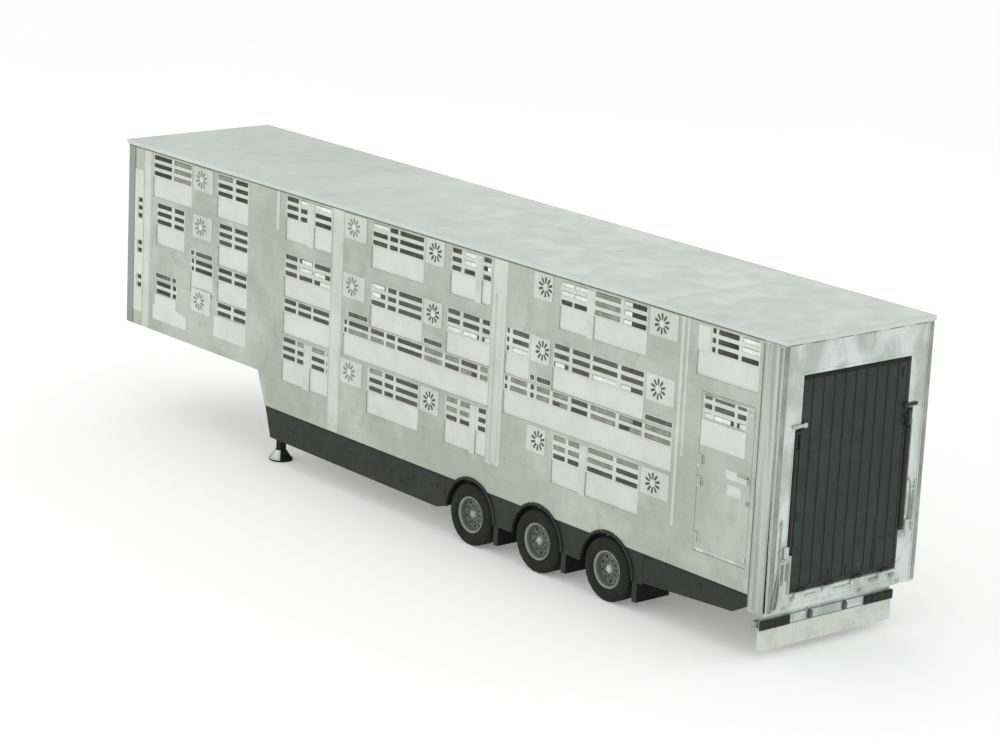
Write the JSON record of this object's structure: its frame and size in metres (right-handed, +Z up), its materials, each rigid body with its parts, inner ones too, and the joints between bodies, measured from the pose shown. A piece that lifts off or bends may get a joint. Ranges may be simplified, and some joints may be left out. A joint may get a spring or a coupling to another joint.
{
  "type": "livestock semi-trailer",
  "caption": "Step-frame livestock semi-trailer with stacked lifting decks, shuttered side vents, a fold-down ribbed rear ramp and three air-sprung axles.",
  "frame": {"origin": "on the ground, under the middle of the trailer's outer box", "axes": "+Z up, +Y towards the rear ramp, -Y towards the gooseneck and tractor, +X the trailer's left side"},
  "size_m": [2.55, 13.6, 4],
  "materials": {
    "wall_aluminium": "brushed sheet, satin, slightly warm grey",
    "roof_sheet": "pale satin sheet",
    "shutter_panel": "pale grey, satin",
    "portal_aluminium": "bright extruded profile, satin",
    "black_plastic": "black, fine grain",
    "chassis_black": "black, semi-gloss",
    "ramp_black": "black anti-slip coating",
    "tyre": "rubber black",
    "rim_steel": "silver grey enamel",
    "bright_steel": "zinc plated",
    "pale_rubber": "pale grey, smooth",
    "deck_aluminium": "chequered plate"
  },
  "bodies": {
    "trailer_body": {"chassis_frame": "chassis_black", "front_wall": "wall_aluminium", "lamp_bar": "portal_aluminium", "left_front_skirt": "black_plastic", "left_leg_tube": "chassis_black", "left_mudguards": "black_plastic", "left_rear_skirt": "black_plastic", "left_tail_lamp": "black_plastic", "left_wall": "wall_aluminium", "lower_floor": "deck_aluminium", "neck_floor": "deck_aluminium", "neck_frame": "chassis_black", "rear_frame": "portal_aluminium", "right_front_skirt": "black_plastic", "right_leg_tube": "chassis_black", "right_mudguards": "black_plastic", "right_rear_skirt": "black_plastic", "right_tail_lamp": "black_plastic", "right_wall": "wall_aluminium", "roof": "roof_sheet", "spray_flap": "pale_rubber"},
    "axle_assembly_1": {"axle_1": "chassis_black"},
    "left_wheel_1": {"left_tyre_1": "tyre", "left_rim_1": "rim_steel"},
    "right_wheel_1": {"right_tyre_1": "tyre", "right_rim_1": "rim_steel"},
    "axle_assembly_2": {"axle_2": "chassis_black"},
    "left_wheel_2": {"left_tyre_2": "tyre", "left_rim_2": "rim_steel"},
    "right_wheel_2": {"right_tyre_2": "tyre", "right_rim_2": "rim_steel"},
    "axle_assembly_3": {"axle_3": "chassis_black"},
    "left_wheel_3": {"left_tyre_3": "tyre", "left_rim_3": "rim_steel"},
    "right_wheel_3": {"right_tyre_3": "tyre", "right_rim_3": "rim_steel"},
    "left_leg": {"left_leg_foot": "chassis_black"},
    "right_leg": {"right_leg_foot": "chassis_black"},
    "ramp": {"rear_ramp": "ramp_black"},
    "left_strut_tube": {"left_strut_tube": "chassis_black"},
    "left_strut_rod": {"left_strut_rod": "chassis_black"},
    "right_strut_tube": {"right_strut_tube": "chassis_black"},
    "right_strut_rod": {"right_strut_rod": "chassis_black"},
    "left_latch": {"ramp_latch_left": "bright_steel"},
    "right_latch": {"ramp_latch_right": "chassis_black"},
    "door": {"side_door": "wall_aluminium"},
    "door_handle": {"side_door_handle": "bright_steel"},
    "left_vent_1": {"left_shutter_1": "shutter_panel"},
    "left_vent_2": {"left_shutter_2": "shutter_panel"},
    "left_vent_3": {"left_shutter_3": "shutter_panel"},
    "left_vent_4": {"left_shutter_4": "shutter_panel"},
    "right_vent_1": {"right_shutter_1": "shutter_panel"},
    "right_vent_2": {"right_shutter_2": "shutter_panel"},
    "right_vent_3": {"right_shutter_3": "shutter_panel"},
    "right_vent_4": {"right_shutter_4": "shutter_panel"},
    "deck_2_floor": {"deck_2": "deck_aluminium"},
    "deck_3_floor": {"deck_3": "deck_aluminium"},
    "deck_4_floor": {"deck_4": "deck_aluminium"},
    "neck_deck_2_floor": {"neck_deck_2": "deck_aluminium"},
    "neck_deck_3_floor": {"neck_deck_3": "deck_aluminium"}
  },
  "joints": [
    {"name": "axle_1_travel", "type": "hinge", "parent": "trailer_body", "child": "axle_assembly_1", "pos_m": [0, 0.775, 0.456], "axis": [1, 0, 0], "range_deg": [-5.5, 5.5], "stiffness_Nm_per_rad": 150000, "springref_deg": -5.16},
    {"name": "left_wheel_1_spin", "type": "hinge", "parent": "axle_assembly_1", "child": "left_wheel_1", "pos_m": [1.115, 1.275, 0.416], "axis": [1, 0, 0], "continuous": true},
    {"name": "right_wheel_1_spin", "type": "hinge", "parent": "axle_assembly_1", "child": "right_wheel_1", "pos_m": [-1.115, 1.275, 0.416], "axis": [1, 0, 0], "continuous": true},
    {"name": "axle_2_travel", "type": "hinge", "parent": "trailer_body", "child": "axle_assembly_2", "pos_m": [0, 2.105, 0.456], "axis": [1, 0, 0], "range_deg": [-5.5, 5.5], "stiffness_Nm_per_rad": 150000, "springref_deg": -5.16},
    {"name": "left_wheel_2_spin", "type": "hinge", "parent": "axle_assembly_2", "child": "left_wheel_2", "pos_m": [1.115, 2.605, 0.416], "axis": [1, 0, 0], "continuous": true},
    {"name": "right_wheel_2_spin", "type": "hinge", "parent": "axle_assembly_2", "child": "right_wheel_2", "pos_m": [-1.115, 2.605, 0.416], "axis": [1, 0, 0], "continuous": true},
    {"name": "axle_3_travel", "type": "hinge", "parent": "trailer_body", "child": "axle_assembly_3", "pos_m": [0, 3.435, 0.456], "axis": [1, 0, 0], "range_deg": [-5.5, 5.5], "stiffness_Nm_per_rad": 150000, "springref_deg": -5.16},
    {"name": "left_wheel_3_spin", "type": "hinge", "parent": "axle_assembly_3", "child": "left_wheel_3", "pos_m": [1.115, 3.935, 0.416], "axis": [1, 0, 0], "continuous": true},
    {"name": "right_wheel_3_spin", "type": "hinge", "parent": "axle_assembly_3", "child": "right_wheel_3", "pos_m": [-1.115, 3.935, 0.416], "axis": [1, 0, 0], "continuous": true},
    {"name": "left_leg_slide", "type": "slide", "parent": "trailer_body", "child": "left_leg", "axis": [0, 0, 1], "range_m": [0, 0.36], "stiffness_N_per_m": 20000, "springref_m": -2.5},
    {"name": "right_leg_slide", "type": "slide", "parent": "trailer_body", "child": "right_leg", "axis": [0, 0, 1], "range_m": [0, 0.36], "stiffness_N_per_m": 20000, "springref_m": -2.5},
    {"name": "ramp_fold", "type": "hinge", "parent": "trailer_body", "child": "ramp", "pos_m": [0, 6.782, 0.84], "axis": [-1, 0, 0], "range_deg": [0, 107]},
    {"name": "left_strut_turn", "type": "hinge", "parent": "trailer_body", "child": "left_strut_tube", "pos_m": [0.958, 6.745, 1.4], "axis": [-1, 0, 0], "range_deg": [0, 120]},
    {"name": "left_strut_extend", "type": "slide", "parent": "left_strut_tube", "child": "left_strut_rod", "axis": [0, 0, 1], "range_m": [0, 0.82]},
    {"name": "right_strut_turn", "type": "hinge", "parent": "trailer_body", "child": "right_strut_tube", "pos_m": [-0.958, 6.745, 1.4], "axis": [-1, 0, 0], "range_deg": [0, 120]},
    {"name": "right_strut_extend", "type": "slide", "parent": "right_strut_tube", "child": "right_strut_rod", "axis": [0, 0, 1], "range_m": [0, 0.82]},
    {"name": "left_latch_turn", "type": "hinge", "parent": "ramp", "child": "left_latch", "pos_m": [0.86, 6.768, 2.93], "axis": [0, -1, 0], "range_deg": [0, 90]},
    {"name": "right_latch_turn", "type": "hinge", "parent": "ramp", "child": "right_latch", "pos_m": [-0.86, 6.768, 2.93], "axis": [0, 1, 0], "range_deg": [0, 90]},
    {"name": "side_door_swing", "type": "hinge", "parent": "trailer_body", "child": "door", "pos_m": [1.2645, 5.44, 1.1], "axis": [0, 0, -1], "range_deg": [0, 170]},
    {"name": "door_handle_turn", "type": "hinge", "parent": "door", "child": "door_handle", "pos_m": [1.256, 6.14, 2.21], "axis": [1, 0, 0], "range_deg": [0, 90]},
    {"name": "left_vent_1_slide", "type": "slide", "parent": "trailer_body", "child": "left_vent_1", "axis": [0, 0, 1], "range_m": [0, 0.31]},
    {"name": "left_vent_2_slide", "type": "slide", "parent": "trailer_body", "child": "left_vent_2", "axis": [0, 0, 1], "range_m": [0, 0.193]},
    {"name": "left_vent_3_slide", "type": "slide", "parent": "trailer_body", "child": "left_vent_3", "axis": [0, 0, 1], "range_m": [0, 0.31]},
    {"name": "left_vent_4_slide", "type": "slide", "parent": "trailer_body", "child": "left_vent_4", "axis": [0, 0, 1], "range_m": [0, 0.31]},
    {"name": "right_vent_1_slide", "type": "slide", "parent": "trailer_body", "child": "right_vent_1", "axis": [0, 0, 1], "range_m": [0, 0.31]},
    {"name": "right_vent_2_slide", "type": "slide", "parent": "trailer_body", "child": "right_vent_2", "axis": [0, 0, 1], "range_m": [0, 0.193]},
    {"name": "right_vent_3_slide", "type": "slide", "parent": "trailer_body", "child": "right_vent_3", "axis": [0, 0, 1], "range_m": [0, 0.31]},
    {"name": "right_vent_4_slide", "type": "slide", "parent": "trailer_body", "child": "right_vent_4", "axis": [0, 0, 1], "range_m": [0, 0.31]},
    {"name": "deck_2_lift", "type": "slide", "parent": "trailer_body", "child": "deck_2_floor", "axis": [0, 0, 1], "range_m": [0, 0.35]},
    {"name": "deck_3_lift", "type": "slide", "parent": "trailer_body", "child": "deck_3_floor", "axis": [0, 0, 1], "range_m": [0, 0.5]},
    {"name": "deck_4_lift", "type": "slide", "parent": "trailer_body", "child": "deck_4_floor", "axis": [0, 0, 1], "range_m": [0, 0.6]},
    {"name": "neck_deck_2_lift", "type": "slide", "parent": "trailer_body", "child": "neck_deck_2_floor", "axis": [0, 0, 1], "range_m": [0, 0.4]},
    {"name": "neck_deck_3_lift", "type": "slide", "parent": "trailer_body", "child": "neck_deck_3_floor", "axis": [0, 0, 1], "range_m": [0, 0.45]}
  ],
  "couplings": [
    {"joint": "left_strut_turn", "follows": "ramp_fold", "ratio": 1.1145},
    {"joint": "left_strut_extend", "follows": "ramp_fold", "m_per_rad": 0.4339},
    {"joint": "right_strut_turn", "follows": "ramp_fold", "ratio": 1.1145},
    {"joint": "right_strut_extend", "follows": "ramp_fold", "m_per_rad": 0.4339}
  ]
}
